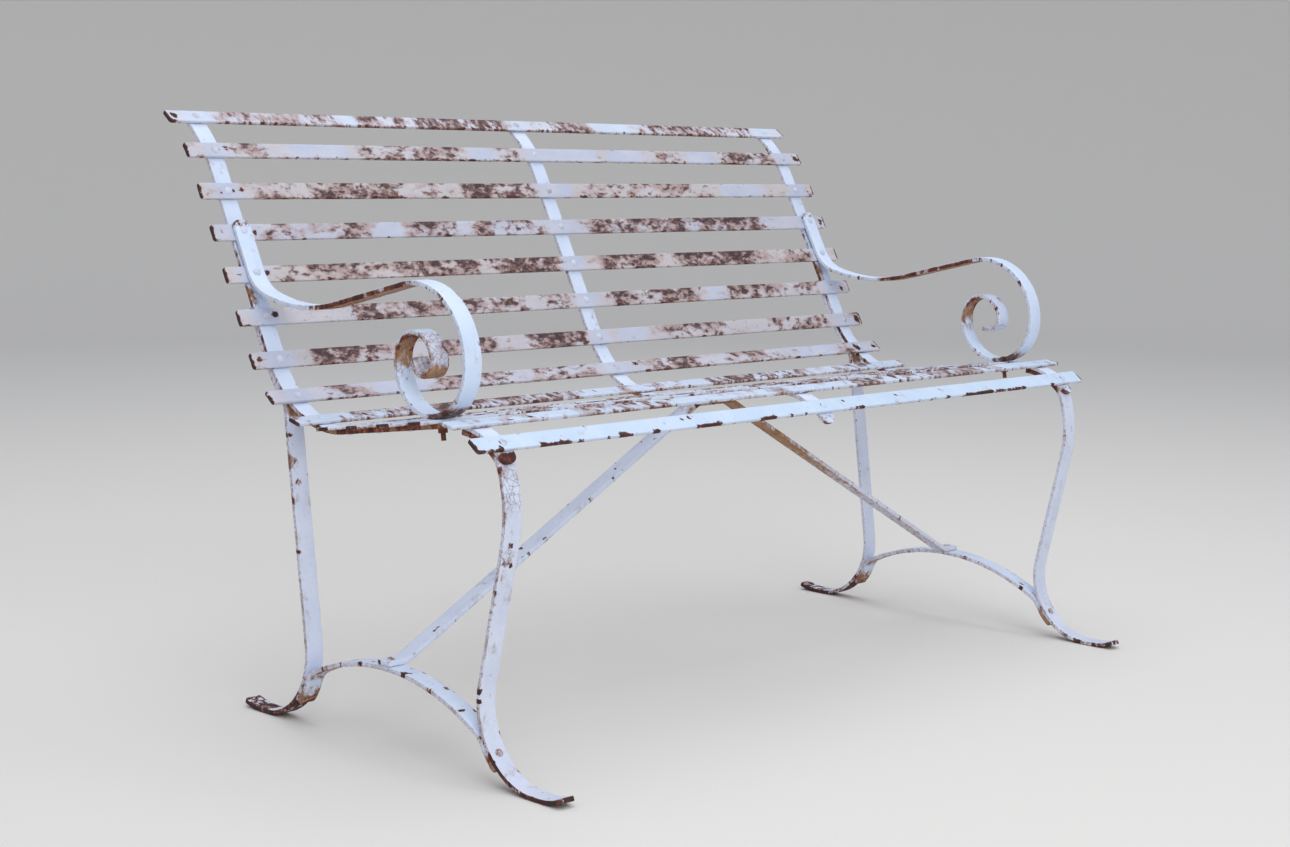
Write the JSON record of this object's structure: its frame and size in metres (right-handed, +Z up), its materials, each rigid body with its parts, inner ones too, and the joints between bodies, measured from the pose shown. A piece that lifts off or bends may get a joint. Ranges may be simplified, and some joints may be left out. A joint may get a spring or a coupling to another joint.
{
  "type": "garden bench",
  "caption": "Riveted flat-iron garden bench with a slatted seat and back, scrolled arms, bent legs, arched stretchers and a centre brace, in worn white paint.",
  "frame": {"origin": "on the ground under the middle of the bench's overall box", "axes": "+X along the slats to the sitter's left, -Y the way the sitter faces, +Z up"},
  "size_m": [1.219, 0.742, 0.7847],
  "materials": {
    "stained_slats": "white paint stained pink and chipped through to dark maroon rust over about half of its face",
    "painted_slats": "thick white paint with rust along its lower edges and ends",
    "painted_straps": "thick brushed white paint, satin, with small dark chips along its edges",
    "painted_rivets": "hammered heads filled with white paint",
    "rusty_fasteners": "matt red-brown rust"
  },
  "bodies": {
    "root": {"back_slat_1": "stained_slats", "back_slat_2": "stained_slats", "back_slat_3": "stained_slats", "back_slat_4": "stained_slats", "back_slat_5": "stained_slats", "back_slat_6": "stained_slats", "back_slat_7": "stained_slats", "back_slat_8": "stained_slats", "seat_slat_1": "painted_slats", "seat_slat_2": "painted_slats", "seat_slat_3": "painted_slats", "seat_slat_4": "painted_slats", "seat_slat_5": "painted_slats", "seat_slat_6": "painted_slats", "seat_slat_7": "painted_slats", "left_rail": "painted_straps", "centre_rail": "painted_straps", "right_rail": "painted_straps", "left_arm": "painted_straps", "right_arm": "painted_straps", "left_front_leg": "painted_straps", "right_front_leg": "painted_straps", "left_rear_leg": "painted_straps", "right_rear_leg": "painted_straps", "left_stretcher": "painted_straps", "right_stretcher": "painted_straps", "brace": "painted_straps", "left_slat_rivets": "painted_rivets", "centre_slat_rivets": "painted_rivets", "right_slat_rivets": "painted_rivets", "left_arm_bolt": "rusty_fasteners", "right_arm_bolt": "rusty_fasteners", "left_arm_nut": "rusty_fasteners", "right_arm_nut": "rusty_fasteners", "left_stretcher_rivets": "rusty_fasteners", "right_stretcher_rivets": "rusty_fasteners", "brace_rivets": "rusty_fasteners"}
  },
  "joints": []
}
